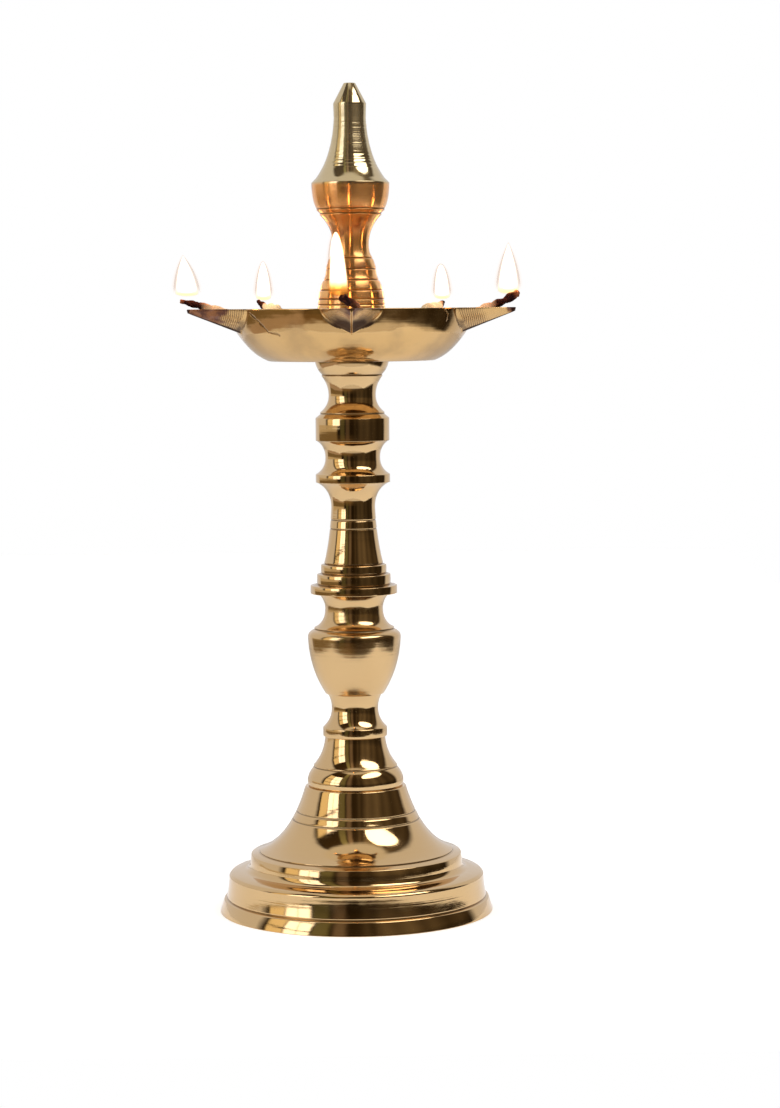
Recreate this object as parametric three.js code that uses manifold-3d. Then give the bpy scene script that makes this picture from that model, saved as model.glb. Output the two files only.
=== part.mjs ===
// A standing brass oil lamp: a bell foot, a stem of turned sections screwed into each other, a
// shallow bowl with five pointed wick spouts, a tall finial over the bowl and five cotton wicks.
// Millimetres, +Z up, and the front, where one spout points, is -Y. Each turned section is drawn
// from its own seat upwards: a rise is a height above the end of the stretch before it.
import * as THREE from "three";
import { ConvexGeometry } from "three/addons/geometries/ConvexGeometry.js";
import { mergeVertices } from "three/addons/utils/BufferGeometryUtils.js";
import Module from "manifold-3d";

const wasm = await Module();
wasm.setup();

const wideFacets = 40; // round the foot and the bowl
const stemFacets = 26; // round the stem and the finial

// A line cut into the turned surface with the point of the tool
const lineWidth = 0.7;
const lineDepth = 0.35;

// Each stem section screws into the one below with a spigot under its seat
const spigotRadius = 5;
const spigotLength = 8;
const spigotClearance = 0.3;
const spigotEndGap = 1;

const cutReach = 1; // a cutting shape reaches this far past the face it opens

const foot = {
  rimRadius: 50.8,
  rimTopRadius: 49.2,
  rimRise: 4.9,
  bandRadius: 48.2,
  bandTopRadius: 47.3,
  bandRise: 8,
  edgeBreak: 0.9,
  ledgeRadius: 42.3,
  ledgeRise: 0.9,
  tierRadius: 39.4,
  coveRise: 3,
  tierTopRadius: 39,
  tierRise: 3.1,
  shelfRadius: 36.6,
  shelfRise: 0.5,
  bellRadius: 36,
  bellPullRadius: 24.5,
  bellPullRise: 4.2,
  bellTopRadius: 18.6,
  bellRise: 23.9,
  lowerLineDrop: 12.4, // the two lines on the bell, below its top
  upperLineDrop: 9.4,
  wall: 3.2,
  crownRadius: 17, // the solid crown that takes the stem's spigot
  crownThick: 11,
};

const knop = {
  seatRadius: 17.5,
  swellPullRadius: 18.6,
  swellPullRise: 3.6,
  swellTopRadius: 15.6,
  swellRise: 6.9,
  neckPullRadius: 11.6,
  neckPullRise: 4.4,
  neckRadius: 11.1,
  neckRise: 11,
};

const collar = {
  bandRadius: 11.9,
  bandRise: 3.2,
  neckPullRadius: 8.5,
  neckPullRise: 3.1,
  neckRadius: 8.6,
  neckRise: 7.4,
  topPullRise: 2.3,
  topRadius: 10,
  topRise: 5.1,
};

const urn = {
  seatRadius: 10.7,
  bellyPullRadius: 16.8,
  bellyPullRise: 9.4,
  bellyRadius: 17.2,
  bellyRise: 21.3,
  shoulderPullRise: 1.7,
  shoulderRadius: 14.9,
  shoulderRise: 2.6,
  neckPullRise: 1.8,
  neckRadius: 10.7,
  neckRise: 7.2,
  topPullRise: 3,
  topRadius: 13.2,
  topRise: 5.5,
};

const column = {
  flangeRadius: 16,
  flangeRise: 3,
  firstStepRadius: 13.6,
  firstStepRise: 3.4,
  secondStepRadius: 12.1,
  secondStepRise: 2.8,
  shaftRadius: 10.9,
  shaftPullRadius: 8.6,
  shaftPullRise: 9,
  waistRadius: 8.1,
  shaftRise: 20.5,
  lowerLineRise: 12.6, // the two lines on the shaft, above its bottom
  upperLineRise: 15.9,
  topPullRise: 6.6,
  topRadius: 13.3,
  topRise: 9.2,
};

const baluster = {
  flangeRadius: 13.7,
  flangeRise: 3,
  lowerNeckPullRise: 2,
  lowerNeckRadius: 10.1,
  lowerNeckRise: 6.1,
  bandPullRise: 4.3,
  bandUnderRadius: 13.3,
  bandUnderRise: 6.3,
  bandRadius: 13.6,
  bandRise: 8.3,
  chamferRadius: 12,
  chamferRise: 1.3,
  upperNeckPullRise: 2.5,
  upperNeckRadius: 8.7,
  upperNeckRise: 6.3,
  cupPullRise: 3.9,
  cupRadius: 11.3,
  cupRise: 7.2,
  topPullRadius: 13.3,
  topPullRise: 2.1,
  topRadius: 13.6,
  topRise: 4.8,
  tenonRadius: 4.5, // the tenon passes through the bowl and up into the finial
  tenonLength: 16,
};

const bowl = {
  floorRadius: 30.5,
  bilgePullRadius: 36.6,
  bilgePullRise: 2.2,
  bilgeRadius: 42,
  bilgeRise: 10.3,
  rimPullRadius: 43.4,
  rimPullRise: 2.9,
  rimRadius: 44.3,
  rimRise: 8.8,
  wall: 1.8,
  floorThick: 2.6,
  bossRadius: 16,
  bossHeight: 5.2,
  boreClearance: 0.4,
};
const bowlDepth = bowl.bilgeRise + bowl.rimRise;

const spout = {
  count: 5,
  rootRadius: 36, // the trough starts here, inside the bowl's wall
  rootHalfWidth: 14.2,
  rootDepth: 11.2,
  tipRadius: 62,
  tipHalfWidth: 1.2,
  tipDepth: 1.4,
  flankDrop: 0.55, // the flanks are fullest at this share of the depth
  flankShare: 0.68, // and have this share of the half width there
  wall: 1.5,
  lip: 2.6, // the trough stops this far short of the tip
  lipDepth: 1,
};

const finial = {
  seatRadius: 13.9,
  skirtTopRadius: 11.8,
  skirtRise: 20.1,
  lowerLineDrop: 4.9, // the two lines on the skirt, below its top
  upperLineDrop: 2.9,
  ringRadius: 11.4,
  ringTopRadius: 10.4,
  ringRise: 3.1,
  drumRadius: 10.1,
  drumPullRadius: 9.3,
  drumPullRise: 1.1,
  drumMiddleRadius: 9.2,
  drumLowerRise: 3.3,
  drumTopRadius: 8.2,
  drumUpperRise: 3.2,
  ledgeRadius: 7.9,
  neckPullRise: 1.5,
  neckRadius: 6.6,
  neckRise: 4.5,
  cupPullRise: 5.6,
  cupRadius: 10.4,
  cupRise: 10,
  lowerRingRadius: 11.4,
  lowerRingRise: 1,
  upperRingRadius: 12.6,
  upperRingRise: 1,
  bulbPullRadius: 14.2,
  bulbPullRise: 3,
  bulbRadius: 14.3,
  bulbRise: 9.2,
  shoulderRadius: 12.7,
  shoulderRise: 1.6,
  shaftPullRadius: 6.6,
  shaftPullRise: 8.1,
  shaftRadius: 5.9,
  shaftRise: 22.2,
  capRadius: 6.05,
  capRise: 4.9,
  tipRadius: 2.1,
  coneRise: 7.4,
  socketClearance: 0.3,
};

const wick = {
  radius: 1.5,
  facets: 8,
  steps: 13,
  clearance: 0.35,
  tailGap: 5, // from the bowl's boss out to the tail, which lies on the floor
  bendRadius: 30, // from here to the lift the wick follows its trough
  liftRun: 9, // the last stretch, in which it lifts out of the trough
  lipInset: 4, // it is clear of the spout's edges this far inside the spout's tip
  lipStray: 0.33, // the share of its stray that it has made by then
};

// How far each wick's tip hangs out past the lip, how far it climbs there, and how far it strays to
// the left of its trough, looking outwards
const wickFront = { overhang: 4, climb: 2.6, stray: -2.6 };
const wickRight = { overhang: 5.5, climb: 3.6, stray: 0 };
const wickBackRight = { overhang: 2.5, climb: 0.4, stray: 0 };
const wickBackLeft = { overhang: 3, climb: 0.8, stray: 0 };
const wickLeft = { overhang: 6.5, climb: 0.8, stray: 0 };

const brassColour = 0xd9a94f;
const polished = 0.12;
const satin = 0.28;
const cotton = { color: 0xe9dcc0, roughness: 0.95, metalness: 0 };

// The outside of a turned section, drawn from its seat upwards as radius and height
class Outline {
  constructor(radius, height = 0) {
    this.points = [new THREE.Vector2(radius, height)];
  }
  get end() {
    return this.points.at(-1);
  }
  to(radius, rise = 0) {
    this.points.push(new THREE.Vector2(radius, this.end.y + rise));
    return this;
  }
  // A hollow or a swelling, drawn towards a pull point
  bend(pullRadius, pullRise, radius, rise, steps = 4) {
    const { end } = this;
    const curve = new THREE.QuadraticBezierCurve(
      end,
      new THREE.Vector2(pullRadius, end.y + pullRise),
      new THREE.Vector2(radius, end.y + rise),
    );
    this.points.push(...curve.getPoints(steps).slice(1));
    return this;
  }
  // A turned line that may also be the sharp inner corner of a step to another radius
  line(radius = this.end.x) {
    const depth = Math.min(radius, this.end.x) - lineDepth;
    return this.to(depth, lineWidth / 2).to(radius, lineWidth / 2);
  }
  radiusAt(height) {
    const next = this.points.findIndex((point) => point.y > height);
    const [low, high] = [this.points[next - 1], this.points[next]];
    return THREE.MathUtils.mapLinear(height, low.y, high.y, low.x, high.x);
  }
  // A turned line cut into a curve that is already drawn
  scribe(height) {
    const [bottom, top] = [height - lineWidth / 2, height + lineWidth / 2];
    const cut = [
      new THREE.Vector2(this.radiusAt(bottom), bottom),
      new THREE.Vector2(this.radiusAt(height) - lineDepth, height),
      new THREE.Vector2(this.radiusAt(top), top),
    ];
    const below = this.points.filter((point) => point.y < bottom);
    const above = this.points.filter((point) => point.y > top);
    this.points = [...below, ...cut, ...above];
    return this;
  }
}

const at = (radius, height) => new THREE.Vector2(radius, height);

// Spins a profile about the upright axis; one that doesn't start on the axis is closed on itself
function spin(profile, facets) {
  const closed = profile[0].x > 0 ? [...profile, profile[0].clone()] : profile;
  return new THREE.LatheGeometry(closed, facets).rotateX(Math.PI / 2);
}

function brassMesh(name, geometry, roughness = polished) {
  const mesh = new THREE.Mesh(
    geometry,
    new THREE.MeshStandardMaterial({ color: brassColour, roughness, metalness: 1 }),
  );
  mesh.name = name;
  return mesh;
}

const spigot = () => [at(0, -spigotLength), at(spigotRadius, -spigotLength), at(spigotRadius, 0)];

const socket = (top) => {
  const floor = top - spigotLength - spigotEndGap;
  const radius = spigotRadius + spigotClearance;
  return [at(radius, top), at(radius, floor), at(0, floor)];
};

// A stem section: a spigot below, the outline, and a socket in the top for the next spigot
function stemSection(name, outline) {
  const top = outline.end.y;
  const profile = [...spigot(), ...outline.points, ...socket(top)];
  return { mesh: brassMesh(name, spin(profile, stemFacets)), height: top };
}

function makeFoot() {
  const f = foot;
  const rim = new Outline(f.rimRadius).to(f.rimTopRadius, f.rimRise).line(f.bandRadius);
  const band = rim.to(f.bandTopRadius, f.bandRise).to(f.bandTopRadius - f.edgeBreak, f.edgeBreak);
  const bandTop = band.end.y;
  const tier = band
    .to(f.ledgeRadius, f.ledgeRise)
    .bend(f.tierRadius, 0, f.tierRadius, f.coveRise, 3)
    .to(f.tierTopRadius, f.tierRise);
  const tierTop = tier.end.y;
  const bell = tier.to(f.shelfRadius, f.shelfRise).line(f.bellRadius);
  const bellFoot = bell.end.y;
  bell.bend(f.bellPullRadius, f.bellPullRise, f.bellTopRadius, f.bellRise, 8);
  const top = bell.end.y;
  bell.scribe(top - f.lowerLineDrop).scribe(top - f.upperLineDrop);

  const crown = top - f.crownThick;
  const boreRadius = spigotRadius + spigotClearance;
  const inside = new THREE.QuadraticBezierCurve(
    at(f.crownRadius, crown),
    at(f.bellPullRadius - f.wall, bellFoot + f.bellPullRise - f.wall),
    at(f.bellRadius - f.wall, bellFoot - f.wall),
  );
  const profile = [
    ...bell.points,
    at(boreRadius, top),
    at(boreRadius, crown),
    ...inside.getPoints(5),
    at(f.tierTopRadius - f.wall, tierTop - f.wall),
    at(f.tierTopRadius - f.wall, bandTop - f.wall),
    at(f.bandTopRadius - f.wall, bandTop - f.wall),
    at(f.bandTopRadius - f.wall, 0),
  ];
  return { mesh: brassMesh("foot", spin(profile, wideFacets)), height: top };
}

function makeKnop() {
  const k = knop;
  const outline = new Outline(k.seatRadius)
    .bend(k.swellPullRadius, k.swellPullRise, k.swellTopRadius, k.swellRise)
    .line()
    .bend(k.neckPullRadius, k.neckPullRise, k.neckRadius, k.neckRise);
  return stemSection("knop", outline);
}

function makeCollar() {
  const c = collar;
  const outline = new Outline(c.bandRadius)
    .to(c.bandRadius, c.bandRise)
    .bend(c.neckPullRadius, c.neckPullRise, c.neckRadius, c.neckRise)
    .bend(c.neckRadius, c.topPullRise, c.topRadius, c.topRise, 3);
  return stemSection("collar", outline);
}

function makeUrn() {
  const u = urn;
  const outline = new Outline(u.seatRadius)
    .bend(u.bellyPullRadius, u.bellyPullRise, u.bellyRadius, u.bellyRise, 6)
    .bend(u.bellyRadius, u.shoulderPullRise, u.shoulderRadius, u.shoulderRise, 3)
    .line()
    .bend(u.neckRadius, u.neckPullRise, u.neckRadius, u.neckRise)
    .bend(u.neckRadius, u.topPullRise, u.topRadius, u.topRise, 3);
  return stemSection("urn", outline);
}

function makeColumn() {
  const c = column;
  const outline = new Outline(c.flangeRadius)
    .to(c.flangeRadius, c.flangeRise)
    .line(c.firstStepRadius)
    .to(c.firstStepRadius, c.firstStepRise)
    .line(c.secondStepRadius)
    .to(c.secondStepRadius, c.secondStepRise)
    .line(c.shaftRadius);
  const shaftFoot = outline.end.y;
  outline
    .bend(c.shaftPullRadius, c.shaftPullRise, c.waistRadius, c.shaftRise)
    .scribe(shaftFoot + c.lowerLineRise)
    .scribe(shaftFoot + c.upperLineRise)
    .bend(c.waistRadius, c.topPullRise, c.topRadius, c.topRise, 5);
  return stemSection("column", outline);
}

// The top section of the stem carries a long tenon in place of a socket
function makeBaluster() {
  const b = baluster;
  const outline = new Outline(b.flangeRadius)
    .to(b.flangeRadius, b.flangeRise)
    .bend(b.lowerNeckRadius, b.lowerNeckPullRise, b.lowerNeckRadius, b.lowerNeckRise, 3)
    .bend(b.lowerNeckRadius, b.bandPullRise, b.bandUnderRadius, b.bandUnderRise, 3)
    .to(b.bandRadius)
    .to(b.bandRadius, b.bandRise)
    .to(b.chamferRadius, b.chamferRise)
    .line()
    .bend(b.upperNeckRadius, b.upperNeckPullRise, b.upperNeckRadius, b.upperNeckRise)
    .bend(b.upperNeckRadius, b.cupPullRise, b.cupRadius, b.cupRise)
    .line()
    .bend(b.topPullRadius, b.topPullRise, b.topRadius, b.topRise, 3);
  const top = outline.end.y;
  const tenonTop = top + b.tenonLength;
  const tenon = [at(b.tenonRadius, top), at(b.tenonRadius, tenonTop), at(0, tenonTop)];
  const profile = [...spigot(), ...outline.points, ...tenon];
  return { mesh: brassMesh("baluster", spin(profile, stemFacets)), height: top };
}

const asSolid = (geometry) => {
  const bare = geometry.clone();
  bare.deleteAttribute("normal");
  bare.deleteAttribute("uv");
  const merged = mergeVertices(bare);
  return new wasm.Manifold(
    new wasm.Mesh({
      numProp: 3,
      vertProperties: merged.attributes.position.array,
      triVerts: new Uint32Array(merged.index.array),
    }),
  );
};

const asGeometry = (solid) => {
  const mesh = solid.getMesh();
  const geometry = new THREE.BufferGeometry();
  geometry.setAttribute("position", new THREE.BufferAttribute(mesh.vertProperties, 3));
  geometry.setIndex(new THREE.BufferAttribute(mesh.triVerts, 1));
  geometry.computeVertexNormals();
  return geometry;
};

// A tapering block with a V section: two upper corners and a keel at each end, drawn along +X
const keelEnd = ({ radius, halfWidth, depth }, top) => [
  new THREE.Vector3(radius, halfWidth, top),
  new THREE.Vector3(radius, -halfWidth, top),
  new THREE.Vector3(radius, 0, bowlDepth - depth),
];

// The outside of a spout, whose flanks swell out from the V
function spoutBlock(root, tip) {
  const flank = ({ radius, halfWidth, depth }) => [
    new THREE.Vector3(radius, halfWidth * spout.flankShare, bowlDepth - depth * spout.flankDrop),
    new THREE.Vector3(radius, -halfWidth * spout.flankShare, bowlDepth - depth * spout.flankDrop),
  ];
  const end = (section) => [...keelEnd(section, bowlDepth), ...flank(section)];
  return new ConvexGeometry([...end(root), ...end(tip)]);
}

// The first spout points to the front
const spoutAngle = (place) => -Math.PI / 2 + (place * 2 * Math.PI) / spout.count;

// The trough has the same V section all along, a wall's thickness inside the spout at the root
const troughHalfAngle = Math.atan(spout.rootHalfWidth / spout.rootDepth);
const troughDepth = spout.rootDepth - spout.wall / Math.sin(troughHalfAngle);
const lipRadius = spout.tipRadius - spout.lip;
const troughSlope = (troughDepth - spout.lipDepth) / (lipRadius - spout.rootRadius);
const troughFloorAt = (radius) => bowlDepth - troughDepth + (radius - spout.rootRadius) * troughSlope;

// The trough as a cutting shape, which stands above the rim
function troughBlock() {
  const cut = (radius, depth) => {
    const halfWidth = (depth + cutReach) * Math.tan(troughHalfAngle);
    return { radius, halfWidth, depth };
  };
  const root = cut(spout.rootRadius, troughDepth);
  const lip = cut(lipRadius, spout.lipDepth);
  const top = bowlDepth + cutReach;
  return new ConvexGeometry([...keelEnd(root, top), ...keelEnd(lip, top)]);
}

function makeBowl() {
  const b = bowl;
  const s = spout;
  const above = bowlDepth + cutReach;
  const shell = (inset, floor) =>
    new Outline(b.floorRadius - inset, floor)
      .bend(b.bilgePullRadius - inset, b.bilgePullRise, b.bilgeRadius - inset, b.bilgeRise - floor, 6)
      .bend(b.rimPullRadius - inset, b.rimPullRise, b.rimRadius - inset, b.rimRise, 3).points;
  const body = [at(0, 0), ...shell(0, 0), at(0, bowlDepth)];
  const hollow = [
    at(0, b.bossHeight),
    at(b.bossRadius, b.bossHeight),
    at(b.bossRadius, b.floorThick),
    ...shell(b.wall, b.floorThick),
    at(b.rimRadius - b.wall, above),
    at(0, above),
  ];
  const boreRadius = baluster.tenonRadius + b.boreClearance;
  const bore = [
    at(0, -cutReach),
    at(boreRadius, -cutReach),
    at(boreRadius, above),
    at(0, above),
  ];
  const root = { radius: s.rootRadius, halfWidth: s.rootHalfWidth, depth: s.rootDepth };
  const tip = { radius: s.tipRadius, halfWidth: s.tipHalfWidth, depth: s.tipDepth };

  let solid = asSolid(spin(body, wideFacets));
  for (let place = 0; place < s.count; place++) {
    solid = solid.add(asSolid(spoutBlock(root, tip).rotateZ(spoutAngle(place))));
  }
  solid = solid.subtract(asSolid(spin(hollow, wideFacets)));
  solid = solid.subtract(asSolid(spin(bore, stemFacets)));
  for (let place = 0; place < s.count; place++) {
    solid = solid.subtract(asSolid(troughBlock().rotateZ(spoutAngle(place))));
  }
  return brassMesh("bowl", asGeometry(solid), satin);
}

function makeFinial() {
  const f = finial;
  const outline = new Outline(f.seatRadius)
    .to(f.skirtTopRadius, f.skirtRise)
    .scribe(f.skirtRise - f.lowerLineDrop)
    .scribe(f.skirtRise - f.upperLineDrop)
    .line(f.ringRadius)
    .to(f.ringTopRadius, f.ringRise)
    .line(f.drumRadius)
    .bend(f.drumPullRadius, f.drumPullRise, f.drumMiddleRadius, f.drumLowerRise, 3)
    .line()
    .to(f.drumTopRadius, f.drumUpperRise)
    .line(f.ledgeRadius)
    .bend(f.neckRadius, f.neckPullRise, f.neckRadius, f.neckRise, 2)
    .bend(f.neckRadius, f.cupPullRise, f.cupRadius, f.cupRise)
    .to(f.lowerRingRadius, f.lowerRingRise)
    .line()
    .to(f.upperRingRadius, f.upperRingRise)
    .line()
    .bend(f.bulbPullRadius, f.bulbPullRise, f.bulbRadius, f.bulbRise)
    .to(f.shoulderRadius, f.shoulderRise)
    .bend(f.shaftPullRadius, f.shaftPullRise, f.shaftRadius, f.shaftRise, 6)
    .to(f.capRadius, f.capRise)
    .to(f.tipRadius, f.coneRise);
  const socketRadius = baluster.tenonRadius + f.socketClearance;
  const socketTop = baluster.tenonLength - bowl.bossHeight + spigotEndGap;
  const profile = [
    at(0, socketTop),
    at(socketRadius, socketTop),
    at(socketRadius, 0),
    ...outline.points,
    at(0, outline.end.y),
  ];
  return brassMesh("finial", spin(profile, stemFacets));
}

// A twisted cotton wick: its tail lies on the bowl's floor, it runs out along the bottom of its
// trough and its tip stands up over the lip
function makeWick(name, place, { overhang, climb, stray }) {
  const w = wick;
  const lift = (w.radius + w.clearance) / Math.sin(troughHalfAngle);
  const along = (radius, height, aside = 0) => new THREE.Vector3(radius, aside, height);
  const inTrough = (radius) => along(radius, troughFloorAt(radius) + lift);
  const lipHeight = bowlDepth + w.radius + w.clearance;
  const lip = along(spout.tipRadius - w.lipInset, lipHeight, stray * w.lipStray);
  const liftRadius = lip.x - w.liftRun;
  const path = new THREE.CatmullRomCurve3([
    along(bowl.bossRadius + w.tailGap, bowl.floorThick + w.radius + w.clearance),
    inTrough(w.bendRadius),
    inTrough((w.bendRadius + liftRadius) / 2),
    inTrough(liftRadius),
    lip,
    along(lip.x + overhang, lip.z + climb, stray),
  ]);
  const section = new THREE.Shape().absarc(0, 0, w.radius, 0, 2 * Math.PI);
  const geometry = new THREE.ExtrudeGeometry(section, {
    steps: w.steps,
    curveSegments: w.facets / 2,
    bevelEnabled: false,
    extrudePath: path,
  });
  const mesh = new THREE.Mesh(geometry, new THREE.MeshStandardMaterial(cotton));
  mesh.name = name;
  mesh.rotation.z = spoutAngle(place);
  return mesh;
}

// Stack the sections, each on the top face of the one below
const lamp = new THREE.Group();
let seat = 0;
for (const { mesh, height } of [
  makeFoot(),
  makeKnop(),
  makeCollar(),
  makeUrn(),
  makeColumn(),
  makeBaluster(),
]) {
  mesh.position.z = seat;
  seat += height;
  lamp.add(mesh);
}
const bowlMesh = makeBowl();
const wickMeshes = [
  makeWick("wick_front", 0, wickFront),
  makeWick("wick_right", 1, wickRight),
  makeWick("wick_back_right", 2, wickBackRight),
  makeWick("wick_back_left", 3, wickBackLeft),
  makeWick("wick_left", 4, wickLeft),
];
for (const mesh of [bowlMesh, ...wickMeshes]) {
  mesh.position.z = seat;
  lamp.add(mesh);
}
const finialMesh = makeFinial();
finialMesh.position.z = seat + bowl.bossHeight;
lamp.add(finialMesh);

// Five spouts reach further forward than back, so the lamp moves back until the origin is under
// the middle of its box
const box = new THREE.Box3().setFromObject(lamp, true);
lamp.position.y = -box.getCenter(new THREE.Vector3()).y;

export default lamp;
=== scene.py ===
import math
import random
import bmesh
import bpy
import numpy as np
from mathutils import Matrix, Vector, noise


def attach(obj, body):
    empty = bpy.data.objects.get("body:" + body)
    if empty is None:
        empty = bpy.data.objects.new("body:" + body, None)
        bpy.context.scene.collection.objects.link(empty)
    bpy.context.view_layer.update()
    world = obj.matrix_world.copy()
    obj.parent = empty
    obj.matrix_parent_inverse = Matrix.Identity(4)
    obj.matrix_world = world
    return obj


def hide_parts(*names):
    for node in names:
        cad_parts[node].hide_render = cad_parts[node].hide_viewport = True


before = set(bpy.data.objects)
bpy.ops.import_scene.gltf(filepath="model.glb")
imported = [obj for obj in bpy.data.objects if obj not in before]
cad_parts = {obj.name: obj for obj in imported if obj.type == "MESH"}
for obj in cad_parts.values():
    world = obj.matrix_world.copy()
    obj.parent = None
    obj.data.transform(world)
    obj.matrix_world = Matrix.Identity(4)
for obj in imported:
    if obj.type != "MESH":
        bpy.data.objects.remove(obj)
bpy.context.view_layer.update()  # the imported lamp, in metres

mm = 0.001
axisY = 0.00601  # the lamp's upright axis stands a little behind the origin
turning = {
    "lineWidth": 0.7,  # a line cut with the point of the tool
    "lineDepth": 0.35,
    "grimeAndShadeWidth": 0.32,
    "ridge": 0.13,  # depth of the marks of a coarse last cut
    "edge": 0.22,  # how far a corner is eased by the buffing wheel
    "cornerFrom": 24,  # a turn of the outline by more degrees than this is a corner
    "smoothUpTo": 38,
    "easedBeyond": 0.1,  # from the axis, where the points of the outline meet
    "mergeWithin": 0.004,
    "columns": 128,
    "spigotRadius": 5,
    "spigotLength": 8,
    "socketGap": 0.3,
    "socketEnd": 1,
}
# Where each section sits, in millimetres above the table
seat = {"foot": 0, "knop": 46.6, "collar": 65.2, "urn": 80.9, "column": 118.2, "baluster": 159.2,
        "bowl": 203.9, "finial": 209.1}
bowlRim = 223.0

view = {"height": 223, "distance": 1078, "down": 4.80, "toRight": 0.752, "roll": 0.45, "lens": 95.2,
        "sensor": 36}

bpy.ops.object.select_all(action="DESELECT")
bpy.ops.object.camera_add(
    location=(0, axisY - view["distance"] * mm, view["height"] * mm),
    rotation=(math.radians(90 - view["down"]), math.radians(view["roll"]), math.radians(-view["toRight"])),
)
camera = bpy.context.object
camera.name = "productCamera"
camera.data.lens = view["lens"]
camera.data.sensor_width = view["sensor"]
bpy.context.scene.camera = camera
bpy.context.scene.view_settings.view_transform = "Standard"
print("camera placed")


shading = {"tree": None}  # the node tree that is being built


def addNode(kind, settings={}, sockets={}):
    made = shading["tree"].nodes.new("ShaderNode" + kind)
    for name, value in settings.items():
        setattr(made, name, value)
    for name, value in sockets.items():
        socket = made.inputs[name]
        if isinstance(value, bpy.types.NodeSocket):
            shading["tree"].links.new(value, socket)
        elif socket.type == "RGBA":
            socket.default_value = (*value, 1)
        else:
            socket.default_value = value
    return made


def calc(operation, *values):
    return addNode("Math", {"operation": operation}, dict(enumerate(values))).outputs[0]


def times(a, b):
    return calc("MULTIPLY", a, b)


def timesPlus(a, b, c):
    return calc("MULTIPLY_ADD", a, b, c)


def split(vector):
    return addNode("SeparateXYZ", {}, {0: vector}).outputs


def objectPlace():
    return addNode("TexCoord").outputs["Object"]


def vectorCalc(operation, sockets):
    return addNode("VectorMath", {"operation": operation}, sockets).outputs


def blendColours(amount, first, second, how="MIX"):
    mix = addNode("Mix", {"data_type": "RGBA", "blend_type": how}, {0: amount, 6: first, 7: second})
    return mix.outputs[2]


# Runs from 0 to 1 while the value runs from low to high
def fadeIn(value, low, high):
    sockets = {"Value": value, "From Min": low, "From Max": high}
    return addNode("MapRange", {"interpolation_type": "SMOOTHSTEP"}, sockets).outputs[0]


def colourRamp(value, stops):
    ramp = addNode("ValToRGB", {}, {"Fac": value})
    elements = ramp.color_ramp.elements
    while len(elements) < len(stops):
        elements.new(0.5)
    for element, (place, colour) in zip(elements, stops):
        element.position = place
        element.color = (*colour, 1)
    return ramp.outputs["Color"]


def blotches(place, scale, detail):
    return addNode("TexNoise", {}, {"Vector": place, "Scale": scale, "Detail": detail}).outputs["Fac"]


# A value that each vertex of the piece carries
def painted(name):
    return addNode("Attribute", {"attribute_name": name}).outputs["Fac"]


def newMaterial(name):
    material = bpy.data.materials.new(name)
    material.use_nodes = True
    shading["tree"] = material.node_tree
    shading["tree"].nodes.clear()
    return material


def setSurface(shader, output="OutputMaterial"):
    addNode(output, {}, {"Surface": shader.outputs[0]})


def addShaders(first, second):
    return addNode("AddShader", {}, {0: first.outputs[0], 1: second.outputs[0]})


studio = {
    "dark": (0, 0, 0),
    "paper": (0.80, 0.81, 0.85),
    "window": (2.7, 2.75, 3.0),
    "windowSide": (1.15, 0.98, 0.62),
    "bar": (0.30, 0.26, 0.18),
    "rail": (0.12, 0.11, 0.10),  # share of the light that a rail across the window lets through
    "curtain": (0.20, 0.192, 0.094),
    "door": (0.21, 0.16, 0.115),
    "wood": (0.20, 0.158, 0.100),
    "woodDark": (0.034, 0.0215, 0.0085),
    "sill": (0.66, 0.58, 0.43),  # of the window to the left
    "wall": (0.24, 0.18, 0.095),  # below the sill
    "skirting": (0.50, 0.40, 0.33),
    # floor of the room, seen past the edges of the table
    "carpetLeft": (0.24, 0.16, 0.075),
    "carpetRight": (0.085, 0.062, 0.036),
    "ceiling": (0.80, 0.785, 0.75),
    "sweep": (0.83, 0.83, 0.85),  # paper that hangs down in front of the table
    # what stands where, by the angle from straight ahead
    "around": ((-94, "paper"), (-86, "woodDark"), (-40, "woodDark"), (-37, "curtain"), (-27, "curtain"),
               (-23, "woodDark"), (-19, "door"), (-12, "door"), (-8, "woodDark")),
    "glass": ((-84, "dark"), (-82, "windowSide"), (-66, "windowSide"), (-64.5, "bar"), (-63, "window"),
              (-53.5, "window"), (-52.5, "bar"), (-51.5, "window"), (-41, "window"), (-40, "dark")),
    "carpet": ((-14, "carpetLeft"), (6, "carpetRight")),
    "behind": ((122, "paper"),),
    # how light the shelves to the right are, by the same angle
    "shelves": ((2, 0.05), (8, 0.34), (14, 0.1), (26, 0.8), (36, 0.55), (48, 0.9), (60, 0.32), (70, 0.55),
                (84, 0.15), (100, 0.36), (112, 0.1)),
    # and how much of the room's light is left at each height, by the angle up from level
    "heights": ((-12, 0.5), (3, 0.5), (12, 1.0), (30, 0.9), (48, 1.0), (58, 1.5), (66, 1.9)),
    # begins, is all there, is still all there, and has ended at these angles
    "inside": (-86, -82, 112, 118),
    "ahead": (-76, -70, 56, 64),
    "leftSide": (-130, -126, -52, -46),
    # bands between two heights
    "leftBands": ((-5.5, -0.5, "sill"), (-17, -5.5, "wall"), (-30, -17, "skirting")),
    "windowBand": (0, 47),
    "rails": ((13, 15), (30, 32)),
    # and where these begin and are all there
    "carpetDown": (-7, -26),
    "sweepDown": (-25, -31),
    "ceilingUp": (65, 71),
}


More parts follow.
